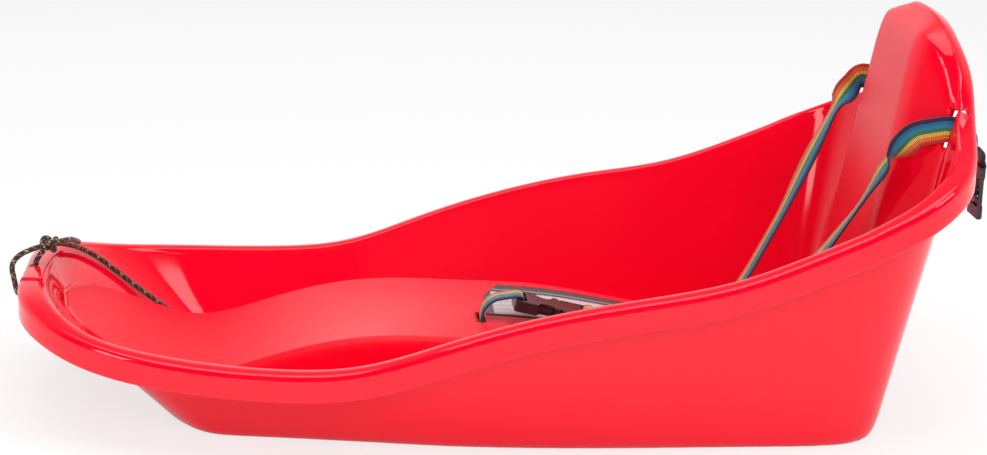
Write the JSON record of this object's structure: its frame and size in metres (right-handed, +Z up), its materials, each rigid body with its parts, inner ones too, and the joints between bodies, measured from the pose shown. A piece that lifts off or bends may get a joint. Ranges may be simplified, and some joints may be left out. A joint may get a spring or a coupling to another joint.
{
  "type": "toddler's pull sled",
  "caption": "Moulded plastic pull sled with a high back, leg wells, a webbing harness with a side-release buckle, and a tow rope tied through its nose.",
  "frame": {"origin": "on the ground, under the middle of the sled's length and width", "axes": "+X towards the nose, +Y towards the rider's left, +Z up"},
  "size_m": [0.7413, 0.386, 0.313],
  "materials": {
    "shell_plastic": "glossy moulded polyethylene, satin on the floor and back pad",
    "webbing": "woven polypropylene webbing with coloured lengthwise stripes",
    "buckle_plastic": "black moulded acetal",
    "label_foil": "blank printed foil label",
    "rope_braid": "braided polypropylene cord, dark with coloured tracers",
    "tie_band": "hook-and-loop band"
  },
  "bodies": {
    "root": {"sled_shell": "shell_plastic", "seat_label": "label_foil", "shoulder_strap_left": "webbing", "shoulder_strap_right": "webbing", "crotch_strap": "webbing", "strap_slider_left": "buckle_plastic", "strap_slider_right": "buckle_plastic", "strap_keeper": "buckle_plastic", "buckle_socket": "buckle_plastic", "buckle_plug": "buckle_plastic", "tow_rope": "rope_braid", "tow_rope_tail": "rope_braid", "tow_rope_loop": "rope_braid", "tow_rope_knot": "rope_braid", "tow_rope_hank": "rope_braid", "tow_rope_end_knot": "rope_braid", "tow_rope_tie": "tie_band"}
  },
  "joints": []
}
